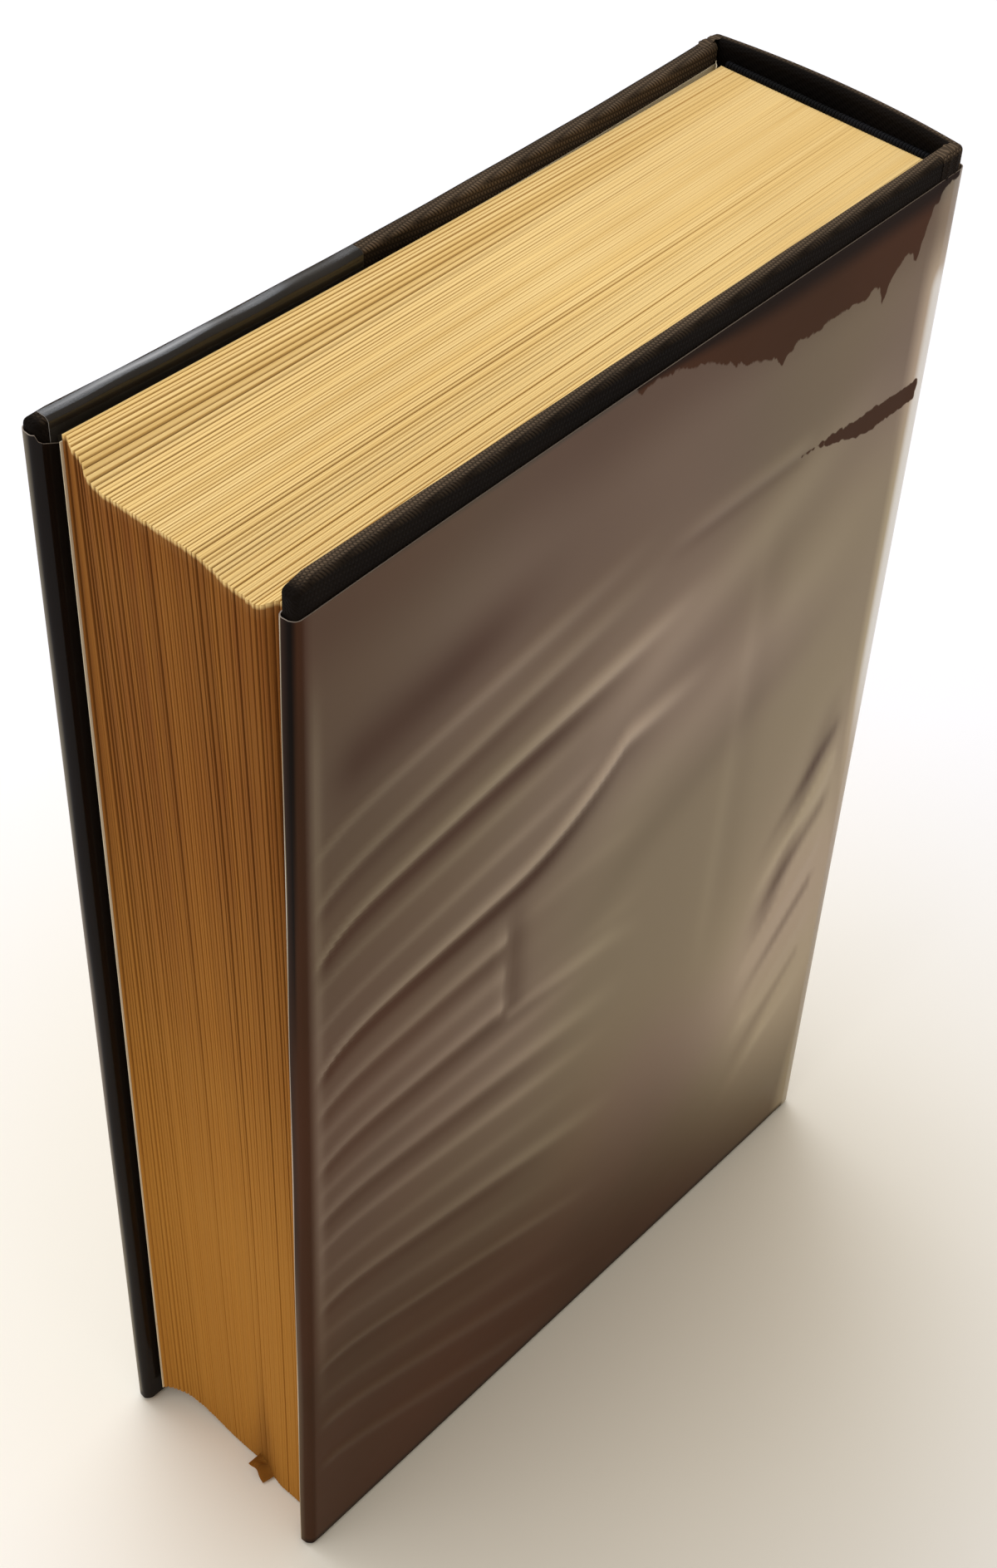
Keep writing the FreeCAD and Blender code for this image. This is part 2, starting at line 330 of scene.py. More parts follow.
def fade(tree, value, low, high):
    """A value turned into a mask that goes smoothly from 0 at low to 1 at high."""
    node = add_node(tree, "ShaderNodeMapRange", {"Value": value, "From Min": low, "From Max": high},
                    interpolation_type="SMOOTHSTEP")
    return node.outputs[0]


def tint(tree, factor, first, second):
    """A colour between two others."""
    return add_node(tree, "ShaderNodeMix", {0: factor, 6: first, 7: second}, data_type="RGBA").outputs[2]


def noise(tree, vector, scale, detail=3.0):
    """A noise texture's value."""
    return add_node(tree, "ShaderNodeTexNoise", {"Vector": vector, "Scale": scale, "Detail": detail}).outputs[0]


def mapped(tree, vector, **change):
    """Coordinates with a Scale or Rotation on each axis."""
    return add_node(tree, "ShaderNodeMapping", {"Vector": vector, **change}).outputs[0]


def painted(tree, name):
    """A number kept on the mesh's points."""
    return add_node(tree, "ShaderNodeAttribute", {}, attribute_name=name).outputs["Fac"]


def new_group(name, inputs, outputs):
    """A shader node group with named sockets: its tree, its inputs and the node of its outputs."""
    tree = bpy.data.node_groups.new(name, "ShaderNodeTree")
    for in_out, sockets in (("INPUT", inputs), ("OUTPUT", outputs)):
        for socket in sockets:
            kind = "NodeSocketVector" if socket == "Vector" else "NodeSocketFloat"
            tree.interface.new_socket(socket, in_out=in_out, socket_type=kind)
    return tree, tree.nodes.new("NodeGroupInput").outputs, tree.nodes.new("NodeGroupOutput")


def use_group(tree, group, inputs):
    """Places a shared effect in a material with its own values."""
    return add_node(tree, "ShaderNodeGroup", inputs, node_tree=group).outputs


def make_weave():
    """Plain weave: threads that go over and under each other, and their slubs."""
    tree, given, result = new_group("woven_threads", ["Vector", "Threads per metre"], ["Height"])
    slub = noise(tree, given["Vector"], 260.0, 2.0)
    parts = add_node(tree, "ShaderNodeSeparateXYZ", {0: given["Vector"]}).outputs
    waves = []
    for axis in (0, 1):
        turn = times(tree, times(tree, parts[axis], given["Threads per metre"]), math.pi)
        waves.append(calc(tree, "SINE", plus(tree, turn, slub)))
    over = times(tree, waves[0], waves[1])
    ridges = plus(tree, calc(tree, "ABSOLUTE", waves[0]), calc(tree, "ABSOLUTE", waves[1]))
    feed(tree, result, {"Height": plus(tree, times(tree, over, 0.5), times(tree, ridges, 0.5))})
    return tree


def make_streaks():
    """Lines along the leaves: broad bands, single leaves and short darker marks."""
    tree, given, result = new_group("leaf_streaks", ["Vector"], ["Bands", "Leaves", "Marks"])
    for name, scale, detail, low, high in (("Bands", (3, 330, 1), 2.0, 0.32, 0.68),
                                           ("Leaves", (2, 3200, 1), 1.0, 0.30, 0.70),
                                           ("Marks", (28, 2400, 1), 1.0, 0.60, 0.74)):
        value = noise(tree, mapped(tree, given["Vector"], Scale=scale), 1.0, detail)
        feed(tree, result, {name: fade(tree, value, low, high)})
    return tree


def make_mottle():
    """Soft unevenness of a surface's colour, with dust specks."""
    tree, given, result = new_group("mottle", ["Vector", "Scale"], ["Cloud", "Grain", "Specks"])
    vector, scale = given["Vector"], given["Scale"]
    specks = noise(tree, vector, times(tree, scale, 14.0), 1.0)
    feed(tree, result, {"Cloud": fade(tree, noise(tree, vector, scale, 4.0), 0.30, 0.70),
                        "Grain": noise(tree, vector, times(tree, scale, 40.0), 2.0),
                        "Specks": fade(tree, specks, 0.77, 0.82)})
    return tree


WEAVE, STREAKS, MOTTLE = make_weave(), make_streaks(), make_mottle()


def mottled(tree, vector, scale):
    """The mottle's outputs at a scale per metre."""
    return use_group(tree, MOTTLE, {"Vector": vector, "Scale": scale})


def new_material(name):
    """A material with a Principled shader: its tree, the shader and the place and UV coordinates."""
    material = bpy.data.materials.new(name)
    material.use_nodes = True
    tree = material.node_tree
    shader = tree.nodes["Principled BSDF"]
    place = tree.nodes.new("ShaderNodeTexCoord").outputs
    return material, tree, shader, place["Object"], place["UV"]


def set_shader(tree, shader, **inputs):
    """Sets or links the shader's inputs, with _ for the blanks in their names."""
    feed(tree, shader, {name.replace("_", " "): value for name, value in inputs.items()})


def bumped(tree, height, distance, strength=1.0):
    """A normal from a height, over a distance in millimetres."""
    inputs = {"Height": height, "Distance": distance * MM, "Strength": strength}
    return add_node(tree, "ShaderNodeBump", inputs).outputs[0]


CREAM, CREAM_PALE = (0.79, 0.525, 0.185, 1), (0.90, 0.665, 0.30, 1)
LEAF_LINE, GAP_SHADE = (0.45, 0.230, 0.045, 1), (0.16, 0.066, 0.010, 1)
TONED, TONED_RED = (0.31, 0.112, 0.018, 1), (0.195, 0.058, 0.010, 1)
TONED_BOUNCE_LIT, TONED_HIGHLIGHT = (0.44, 0.190, 0.026, 1), (0.50, 0.23, 0.060, 1)
TONED_DARK, STAIN = (0.055, 0.014, 0.003, 1), (0.100, 0.028, 0.005, 1)


def leaf_material():
    """Aged leaf edges: cream at the head, orange-brown at the fore-edge, with a line for each leaf. The gaps
    between bundles carry painted shade, the bundles a faint painted highlight, and the fore-edge painted bounce
    light towards its tail.
    """
    material, tree, shader, place, flat = new_material("aged_leaf_edges")
    streaks = use_group(tree, STREAKS, {"Vector": flat})
    cloud = mottled(tree, place, 38.0)
    gap, toned = painted(tree, "gap"), painted(tree, "toned")
    head = tint(tree, plus(tree, times(tree, streaks["Bands"], 0.5), 0.3), CREAM, CREAM_PALE)
    head = tint(tree, times(tree, streaks["Leaves"], 0.12), head, LEAF_LINE)
    head = tint(tree, times(tree, streaks["Marks"], 0.22), head, LEAF_LINE)
    low = fade(tree, painted(tree, "low"), 0.10, 0.75)
    fore = tint(tree, streaks["Bands"], TONED_RED, TONED)
    # Painted light: the fore-edge is painted lighter and more golden towards the tail, for light bounced up
    # from the floor.
    fore = tint(tree, times(tree, low, 0.80), fore, TONED_BOUNCE_LIT)
    lines = times(tree, streaks["Leaves"], minus(tree, 0.20, times(tree, low, 0.14)))
    fore = tint(tree, lines, fore, TONED_DARK)
    # Painted highlight: the bundles between the gaps are painted a little paler.
    pale = times(tree, minus(tree, 1.0, gap), 0.10)
    fore = tint(tree, pale, fore, TONED_HIGHLIGHT)
    # Painted shade: the gaps between bundles are painted dark, ochre on the head and dark brown on the
    # fore-edge.
    head = tint(tree, times(tree, gap, 0.95), head, GAP_SHADE)
    dark = times(tree, gap, minus(tree, 0.95, times(tree, low, 0.76)))
    fore = tint(tree, dark, fore, TONED_DARK)
    colour = tint(tree, toned, head, fore)
    colour = tint(tree, times(tree, painted(tree, "stain"), 0.9), colour, STAIN)
    colour = tint(tree, times(tree, cloud["Cloud"], 0.10), colour, LEAF_LINE)
    height = plus(tree, streaks["Leaves"], times(tree, cloud["Grain"], 0.03))
    set_shader(tree, shader, Base_Color=colour, Roughness=0.9, Specular_IOR_Level=0.06,
               Normal=bumped(tree, height, 0.05))
    return material


def paper_material(name, colour, shade, rough=0.8):
    """Plain uncoated paper with a little fibre and foxing."""
    material, tree, shader, place, _ = new_material(name)
    cloud = mottled(tree, place, 30.0)
    mixed = tint(tree, times(tree, cloud["Cloud"], 0.5), colour, shade)
    mixed = tint(tree, times(tree, cloud["Specks"], 0.4), mixed, LEAF_LINE)
    set_shader(tree, shader, Base_Color=mixed, Roughness=rough, Specular_IOR_Level=0.25,
               Normal=bumped(tree, cloud["Grain"], 0.03))
    return material


CLOTH_BLACK, CLOTH_DUSTY = (0.0045, 0.0032, 0.0025, 1), (0.009, 0.0062, 0.0045, 1)
# Brown of the cloth's edges: partly rubbing, partly painted light on the lit head edges
CLOTH_WORN_LIT = (0.150, 0.104, 0.066, 1)


def cloth_material(name, use_uv=False):
    """Near-black woven book cloth, rubbed brown along its edges. The brown is partly painted light: the lit
    head edges, and the inner face below the head, which takes light thrown back from the leaves.
    """
    material, tree, shader, place, flat = new_material(name)
    threads = flat if use_uv else mapped(tree, place, Rotation=(0.6, 0.5, 0.7))
    weave = use_group(tree, WEAVE, {"Vector": threads, "Threads per metre": 2900.0})
    cloud = mottled(tree, place, 60.0)
    # How far the cloth is painted brown: partly rubbing, partly painted light
    worn = painted(tree, "worn")
    rubbed_and_lit = times(tree, worn, plus(tree, times(tree, cloud["Cloud"], 0.25), 0.75))
    colour = tint(tree, times(tree, cloud["Cloud"], 0.7), CLOTH_BLACK, CLOTH_DUSTY)
    high = times(tree, rubbed_and_lit, fade(tree, weave["Height"], 0.0, 1.1))
    colour = tint(tree, high, colour, CLOTH_WORN_LIT)
    set_shader(tree, shader, Base_Color=colour, Roughness=0.72, Specular_IOR_Level=0.03,
               Normal=bumped(tree, weave["Height"], 0.09, 0.9))
    return material


JACKET_BLACK, JACKET_HIGHLIGHT = (0.008, 0.005, 0.0035, 1), (0.90, 0.88, 0.84, 1)
JACKET_DARK, JACKET_RED = (0.058, 0.026, 0.012, 1), (0.078, 0.031, 0.015, 1)
JACKET_HAZE_SHEEN, JACKET_MAUVE = (0.575, 0.480, 0.315, 1), (0.605, 0.475, 0.355, 1)


def jacket_material():
    """Dark red-brown paper under film: a clear coat, hazy with age, that lifts in ragged patches. The whitish
    haze colour also carries painted reflection and highlights, and some parts are painted near-black as painted
    shade.
    """
    material, tree, shader, _, flat = new_material("laminated_jacket")
    cloud = mottled(tree, flat, 14.0)
    rag = minus(tree, noise(tree, mapped(tree, flat, Scale=(1, 0.45, 1)), 620.0), 0.5)
    lifted = fade(tree, plus(tree, painted(tree, "lifted"), times(tree, rag, 0.40)), 0.48, 0.53)
    stuck = minus(tree, 1.0, lifted)
    haze = times(tree, painted(tree, "haze"), stuck)
    colour = tint(tree, cloud["Cloud"], JACKET_DARK, JACKET_RED)
    # Near-black where the mesh asks for it: painted shade on the rolls and the flap.
    colour = tint(tree, painted(tree, "shown"), JACKET_BLACK, colour)
    drift = fade(tree, noise(tree, flat, 16.0, 1.0), 0.36, 0.64)
    # Painted reflection and haze: the whitish colour stands partly for the film's haze, partly for the
    # reflection of the bright floor and surroundings.
    colour = tint(tree, haze, colour, tint(tree, drift, JACKET_HAZE_SHEEN, JACKET_MAUVE))
    # Painted highlight: where the attribute is near 1, at the spine's corner and along the inner edge of the
    # back roll, the colour goes to near-white.
    colour = tint(tree, fade(tree, haze, 0.80, 1.0), colour, JACKET_HIGHLIGHT)
    rough = plus(tree, times(tree, haze, 0.2), 0.40)
    ripple = noise(tree, mapped(tree, flat, Scale=(1, 1.6, 1)), 70.0, 2.0)
    height = plus(tree, ripple, times(tree, cloud["Grain"], 0.08))
    set_shader(tree, shader, Base_Color=colour, Roughness=rough, Specular_IOR_Level=0.012,
               Coat_Weight=times(tree, painted(tree, "film"), stuck), Coat_Roughness=0.10, Coat_IOR=1.45,
               Normal=bumped(tree, height, 0.08))
    return material


def film_material():
    """Clear laminating film, which over black cloth shows only as gloss, with a painted highlight line where
    the mesh asks for it.
    """
    material, tree, shader, place, _ = new_material("clear_film")
    cloud = mottled(tree, place, 50.0)
    rough = plus(tree, times(tree, cloud["Cloud"], 0.06), 0.10)
    dark = tint(tree, cloud["Cloud"], (0.010, 0.008, 0.006, 1), (0.022, 0.018, 0.015, 1))
    # The whitish colour is a painted highlight.
    set_shader(tree, shader, Base_Color=tint(tree, painted(tree, "haze"), dark, (0.46, 0.45, 0.45, 1)),
               Roughness=rough, Alpha=0.85, Specular_IOR_Level=0.35)
    return material


def gauze_material():
    """Open cotton gauze soaked with glue."""
    material, tree, shader, place, _ = new_material("glued_gauze")
    threads = mapped(tree, place, Rotation=(0, math.pi / 2, 0))
    weave = use_group(tree, WEAVE, {"Vector": threads, "Threads per metre": 1100.0})
    height = weave["Height"]
    colour = tint(tree, fade(tree, height, 0.1, 1.0), (0.30, 0.20, 0.09, 1), (0.72, 0.66, 0.52, 1))
    set_shader(tree, shader, Base_Color=colour, Roughness=0.7, Normal=bumped(tree, height, 0.15))
    return material


def thread_material():
    """Black thread of the bands, with grey lights on its turns."""
    material, tree, shader, place, _ = new_material("band_thread")
    cloud = mottled(tree, place, 120.0)
    colour = tint(tree, cloud["Cloud"], (0.001, 0.001, 0.0015, 1), (0.005, 0.005, 0.007, 1))
    set_shader(tree, shader, Base_Color=colour, Roughness=0.5, Specular_IOR_Level=0.1,
               Normal=bumped(tree, cloud["Grain"], 0.03))
    return material


leaf_edges = leaf_material()
book_cloth = cloth_material("book_cloth")
laminated = jacket_material()
cut_paper = paper_material("cut_paper_rim", (0.34, 0.28, 0.23, 1), (0.22, 0.17, 0.14, 1))
film_rim = paper_material("cut_film_rim", (0.42, 0.39, 0.35, 1), (0.28, 0.25, 0.22, 1), 0.3)
clear_film = film_material()
endpaper = paper_material("endpaper", (0.80, 0.70, 0.50, 1), (0.70, 0.56, 0.33, 1))
greyboard = paper_material("greyboard", (0.30, 0.27, 0.23, 1), (0.22, 0.19, 0.16, 1), 0.9)
kraft = paper_material("kraft_lining", (0.42, 0.28, 0.15, 1), (0.33, 0.21, 0.11, 1))
band_thread = thread_material()
book_cloth_flat = cloth_material("book_cloth_joint", use_uv=True)


# Leaves

LEAF_WIDTH, LEAF_HEIGHT = LEAF_SPINE_X - LEAF_FORE_X, LEAF_HEAD - LEAF_TAIL
LEAVES_THICKNESS = LEAVES_FRONT_Y - LEAVES_BACK_Y
BUNDLE_WIDTH, BUNDLE_SLOPE, LEAST_BUNDLE = 0.52, 0.20, 0.2
DEEP_GAPS, DEEP_GAP = (0.08, 0.29, 0.66, 0.83), 1.8
LEAST_HEIGHT = 0.35


def leaf_give(share):
    """How far a leaf leans and drops at head and tail, by its share of the thickness from the front."""
    lean_head = ease(share / FRONT_RISE) * ease((1 - share) / BACK_RISE)
    lean_tail = (1 - np.exp(-share / 0.1)) * (1 - 0.38 * ease((share - 0.58) / 0.2))
    drop_head = 0.85 * ease((share - 0.08) / 0.15) - 0.25 + 0.5 * ease((share - 0.62) / 0.22)
    drop_head -= 0.3 * ease((share - 0.9) / 0.07)
    drop_tail = ease(share / 0.45) * (1 - 0.3 * ease((share - 0.92) / 0.08))
    return lean_head, lean_tail, drop_head, drop_tail


def leaf_fan(x):
    """How far the front leaves bend out towards the spine and the fore-edge."""
    middle = (LEAF_FORE_X + LEAF_SPINE_X) / 2
    return LEAF_FAN * np.clip((x - middle) / (LEAF_SPINE_X - middle + 3), -1, 1) ** 2


def leaf_bundles():
    """Rings that part the leaves into bundles: place across the thickness, depth of the gap and bundle."""
    chance = np.random.default_rng(11)
    place, rings, index = 0.0, [], 0
    while place < LEAVES_THICKNESS:
        share, left = place / LEAVES_THICKNESS, LEAVES_THICKNESS - place
        near_front = float(1 - ease(share / 0.34))
        width = BUNDLE_WIDTH + 0.16 * near_front + 0.16 * float(ease((share - 0.9) / 0.08))
        width = min(width * chance.uniform(0.78, 1.22), left)
        if left - width < LEAST_BUNDLE:
            width = left
        split = any(place <= part * LEAVES_THICKNESS < place + width for part in DEEP_GAPS)
        depth = DEEP_GAP if split else chance.uniform(0.5, 1.0) + 0.35 * near_front
        rings += [(place + part * width, gap, index)
                  for part, gap in ((0, depth), (BUNDLE_SLOPE, 0.0), (0.5, -0.15), (1 - BUNDLE_SLOPE, 0.0))]
        place += width
        index += 1
    rings.append((LEAVES_THICKNESS, 0.0, index - 1))
    return np.array(rings), index


def leaf_block():
    """All the leaves as one closed piece, with the gaps that open between bundles at the edges."""
    rings, bundles = leaf_bundles()
    chance = np.random.default_rng(5)
    near_corner = np.array([0.0, 0.0015, 0.004])
    side_parts = [np.concatenate([near_corner, np.linspace(0.012, 0.988, count - 5), 1 - near_corner[:0:-1]])
                  for count in (16, 56, 36, 8)]
    ends = np.cumsum([len(parts) for parts in side_parts])
    columns = int(ends[-1])
    piece, grid_x, grid_y = flat_sheet("leaf_block", columns, len(rings) - 1)
    column = np.rint(grid_x * columns).astype(int)
    side = np.searchsorted(ends, column, side="right").clip(0, 3)
    part = np.concatenate([*side_parts, [1.0]])[column]

    def by_side(tail, fore, head, spine):
        return np.select([side == 0, side == 1, side == 2], [tail, fore, head], spine)

    place, gap, bundle = along_line(grid_y, rings)
    bundle = bundle.astype(int)
    share = place / LEAVES_THICKNESS
    give, give_tail, sag_head, sag_tail = leaf_give(share)
    fore_tail = LEAF_FORE_X + TAIL_HOLLOW * give_tail
    fore_head = LEAF_FORE_X + (FORE_EDGE_HOLLOW - LEAF_LEAN) * give
    drop, drop_head = LEAF_SAG * sag_tail, LEAF_SAG * sag_head
    front = 1 - ease(share / 0.25)
    last = ease((share - 0.86) / 0.1)
    step = chance.normal(0, 1, bundles)[bundle] * (0.06 + 0.20 * front + 0.08 * last)
    lift = chance.normal(0, 1, bundles)[bundle] * (0.04 + 0.10 * front + 0.05 * last)

    to_fore = by_side(part, 1 + 0 * part, 1 - part, 0.0)
    x = by_side(LEAF_SPINE_X + (fore_tail - LEAF_SPINE_X) * part, fore_tail + (fore_head - fore_tail) * part,
                fore_head + (LEAF_SPINE_X - fore_head) * part, LEAF_SPINE_X)
    z = by_side(LEAF_TAIL - drop * part, LEAF_TAIL - drop + (LEAF_HEIGHT - drop_head + drop) * part,
                LEAF_HEAD - drop_head * (1 - part), LEAF_HEAD - LEAF_HEIGHT * part)
    opening = 0.12 + 0.88 * to_fore ** 1.3
    rough = by_side(0.2, 0.25 + 0.75 * ease((part - 0.25) / 0.6), 1, 0.2)
    inwards = gap * (0.26 + 0.45 * front + 0.25 * last) * opening * rough
    step, lift = step * rough, lift * rough
    x += (inwards - step * opening) * by_side(to_fore ** 6, 1, to_fore ** 6, to_fore ** 6)
    x += 0.5 * by_side(0, np.sin(math.pi * part), 0, 0) * give
    ends_up = by_side(-1, ease((part - 0.9) / 0.1) - ease((0.1 - part) / 0.1), 1, 0)
    z = np.maximum(z + (lift * opening - inwards * 0.8) * ends_up, LEAST_HEIGHT)

    fan = leaf_fan(x)
    y = LEAVES_FRONT_Y + fan + (LEAVES_BACK_Y - LEAVES_FRONT_Y - fan) * share
    sway, rise = np.sin(math.pi * share) * to_fore, z / LEAF_HEAD
    y += sway * (0.40 * np.sin(4.4 * rise + 3 * share) + 0.07 * np.sin(13 * rise + 11 * share))
    y += sway * 0.10 * np.sin(x / 14 + 5 * share)
    write_points(piece, np.stack([x, y, z], axis=-1))

    lengths = np.array([LEAF_WIDTH, LEAF_HEIGHT, LEAF_WIDTH, LEAF_HEIGHT])
    write_uv(piece, (np.cumsum(lengths) - lengths)[side] + lengths[side] * part, place)
    stain = hump(y - EAR_Y - 1.0, 1.3 + 2.0 * (1 - ease(z / 26))) * (1 - ease((z - 2) / 48)) ** 2
    # gap: strength of the painted shade in the gaps between bundles, stronger towards the fore-edge where they
    # open wider
    paint(piece, gap=np.clip(gap, 0, 1) * (0.22 + 0.78 * to_fore) * (side != 3),
          toned=by_side(0.7, ease((1 - part - 0.0010) / 0.0035), 0.11 * ease(x / 55), 0.11 * ease(x / 55)),
          low=1 - rise, stain=0.6 * (side == 1) * stain)
    edit_whole(piece, bpy.ops.mesh.remove_doubles, threshold=0.0004 * MM)
    edit_whole(piece, bpy.ops.mesh.fill_holes, sides=0)
    slice_up(piece, 0, LEAF_FORE_X + 2, LEAF_SPINE_X - 2, 16)
    slice_up(piece, 2, 0, LEAF_HEAD, 12)
    bend(piece, flared)
    dress(piece, [leaf_edges], 30)
    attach(piece, "book")
    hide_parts("text_block")


def dog_ear():
    """Crumpled corner of one leaf, folded out at the tail of the fore-edge."""
    piece, u, v = flat_sheet("dog_eared_leaf", 16, 16)
    root_low, root_high = np.array([-57.6, EAR_Y - 1.6, 0.6]), np.array([-57.2, EAR_Y + 3.4, 1.4])
    toe, tip = np.array([-61.6, EAR_Y - 0.5, 0.35]), np.array([-61.9, EAR_Y + 2.6, 3.5])
    out, up = u[:, None], v[:, None]
    places = (root_low * (1 - up) + root_high * up) * (1 - out) + (toe * (1 - up) + tip * up) * out
    dent = np.sin(math.pi * v) * ease(u / 0.3)
    places[:, 2] += 1.5 * hump(v - 0.45, 0.22) * (1 - u) * ease(u / 0.25) + 0.35 * np.sin(9 * u) * dent
    places[:, 0] += 0.5 * dent * hump(v - 0.55, 0.30)
    places[:, 1] += 0.5 * np.sin(7 * u + 2) * dent
    places[:, 2] = np.maximum(places[:, 2], 0.3)
    write_points(piece, flared(*places.T))
    write_uv(piece, 60 * u, 3 * v)
    # Painted shade: the dog-ear is painted darker towards its root, where it folds out of the block.
    paint(piece, gap=0.25 * (1 - u), toned=1 + 0 * u, low=0.55 + 0.2 * v,
          stain=np.clip(0.70 - 0.55 * u * v + 0.3 * hump(v - 0.5, 0.15) - 0.25 * u, 0, 1))
    thicken(piece, 0.14)
    dress(piece, [leaf_edges], 45)
    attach(piece, "book")


leaf_block()
dog_ear()


# Case

def one_cut(axis, place):
    """A single slice, as cloth_shell takes it."""
    return axis, place - 0.001, place + 0.001, 2


def cloth_shell(name, low, high, bevel_edge, open_face, slices, worn, place):
    """Cloth glued round a board or strip: a block, rounded, opened where it is bare, thickened and bent."""
    piece = block(name, low, high)
    round_edges(piece, bevel_edge, CLOTH_RADIUS, 5)
    for axis, start, end, count in slices:
        slice_up(piece, axis, start, end, count)
    select_parts(piece, "FACE", open_face)
    bpy.ops.mesh.delete(type="FACE")
    face_outwards(piece)
    thicken(piece, CLOTH_THICKNESS)
    paint(piece, worn=worn(*points_of(piece) / MM))
    bend(piece, place)
    dress(piece, [book_cloth], 40)
    return piece


def uneven_edge(x, z, seed):
    """Small waves of the turned-in cloth along the head and tail edges."""
    near = ease((np.abs(z - CASE_HEIGHT / 2) - CASE_HEIGHT / 2 + 4) / 4)
    return near * (0.02 * np.sin(x * 0.37 + seed) + 0.03 * np.sin(x * 0.15 + 2 * seed))


def corner_drop(side, x, z):
    """How much lower the head edge is at the worn corner of the fore-edge."""
    drop = 0.3 if side == FRONT else 0.9
    return drop * (1 - ease((x - FORE_X) / 2.6)) * ease((z - CASE_HEIGHT + 3) / 3)


def cover_cloth(side):
    """Book cloth of one cover, turned over its head, tail and fore-edge."""
    low = (FORE_X + CLOTH_DEPTH, CLOTH_DEPTH, 0)
    high = (COVER_END_X, INSIDE_DEPTH, CASE_HEIGHT)
    window_x, window_low, window_high = low[0] + TURN_IN, TURN_IN, CASE_HEIGHT - TURN_IN

    def outer_edge(points):
        return points[:, 0].min() < COVER_END_X - 0.01

    def bare(points):
        (left, near, bottom), top = points.min(axis=0), points[:, 2].max()
        window = left > window_x - 0.1 and bottom > window_low - 0.1 and top < window_high + 0.1
        return (near > INSIDE_DEPTH - 0.01 and window) or left > COVER_END_X - 0.01

    def worn(x, depth, z):
        # Painted light and rubbing: the inner face below the head is painted brown for the light thrown back
        # onto it from the leaves; the head edge is painted brown partly as rubbing, partly as light on its lit
        # top.
        inner = ease((depth - 1.6) / 0.6) * ease((z - CASE_HEIGHT + 4.5) / 3.5) * ease((x + 15) / 25)
        outer = ease((z - CASE_HEIGHT + 1.0) / 0.8) * (0.25 + 0.75 * ease((depth - 0.6) / 0.6))
        return np.maximum(outer, 0.8 * inner) * ease((x - FORE_X - 2) / 2)

    def place(x, depth, z):
        return on_cover(side, x, depth + uneven_edge(x, z, 1.3 * side), z - corner_drop(side, x, z))

    slices = [(0, window_x, COVER_END_X, 30), (0, low[0] + 1, window_x + 0.001, 6),
              (2, window_low, window_high + 0.001, 16), (2, 5.0, window_low + 0.001, 3),
              (2, window_high, CASE_HEIGHT - 5, 3), one_cut(0, window_x), one_cut(2, window_low),
              one_cut(2, window_high)]
    piece = cloth_shell(SIDE_NAME[side] + "_cover_cloth", low, high, outer_edge, bare, slices, worn, place)
    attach(piece, COVER_BODY[side])
    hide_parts(SIDE_NAME[side] + "_cloth")


def greyboard_panel(side):
    """Greyboard of one cover, bent as the cover is."""
    piece = block(SIDE_NAME[side] + "_greyboard", (FORE_X + BOARD_DEPTH, BOARD_DEPTH, CLOTH_THICKNESS),
                  (COVER_END_X, TURN_IN_DEPTH, CASE_HEIGHT - CLOTH_THICKNESS))
    round_edges(piece, lambda points: np.ptp(points[:, 1]) < 0.1, 0.45, 3)
    slice_up(piece, 0, FORE_X, COVER_END_X, 24)
    slice_up(piece, 2, 0, CASE_HEIGHT, 12)
    bend(piece, lambda x, depth, z: on_cover(side, x, depth, z - 1.2 * corner_drop(side, x, z)))
    dress(piece, [greyboard])
    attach(piece, COVER_BODY[side])
    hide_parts(SIDE_NAME[side] + "_board")


def spine_case_cloth():
    """Book cloth round the spine strip, turned in at its head and tail."""
    half = HALF_THICKNESS - CLOTH_DEPTH
    inner_half, window_high = half - 0.35, CASE_HEIGHT - TURN_IN
    low, high = (SPINE_INSIDE_X, -half, 0), (SPINE_CORNER_X - CLOTH_DEPTH, half, CASE_HEIGHT)

    def outer_edge(points):
        return not (points[:, 0].max() < SPINE_INSIDE_X + 0.01 and np.ptp(points[:, 2]) > 1)

    def bare(points):
        return points[:, 0].max() < SPINE_INSIDE_X + 0.01 and np.abs(points[:, 1]).max() < half - 0.3 \
            and points[:, 2].min() > TURN_IN - 0.1 and points[:, 2].max() < window_high + 0.1

    def worn(x, _, z):
        # The spine cloth's head rim is painted brown: partly rubbing, partly painted light on its lit top.
        return ease((z - CASE_HEIGHT + 1.6) / 0.8) * ease((x - SPINE_CORNER_X + 1.55) / 0.5)

    slices = [(1, -inner_half, inner_half + 0.001, 28), one_cut(1, -inner_half), one_cut(1, inner_half),
              (2, TURN_IN, window_high + 0.001, 8), one_cut(2, TURN_IN), one_cut(2, window_high)]
    piece = cloth_shell("spine_case_cloth", low, high, outer_edge, bare, slices, worn, on_spine)
    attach(piece, "book")
    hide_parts("spine_cloth")


for cover_side in (FRONT, BACK):
    cover_cloth(cover_side)
    greyboard_panel(cover_side)
spine_case_cloth()


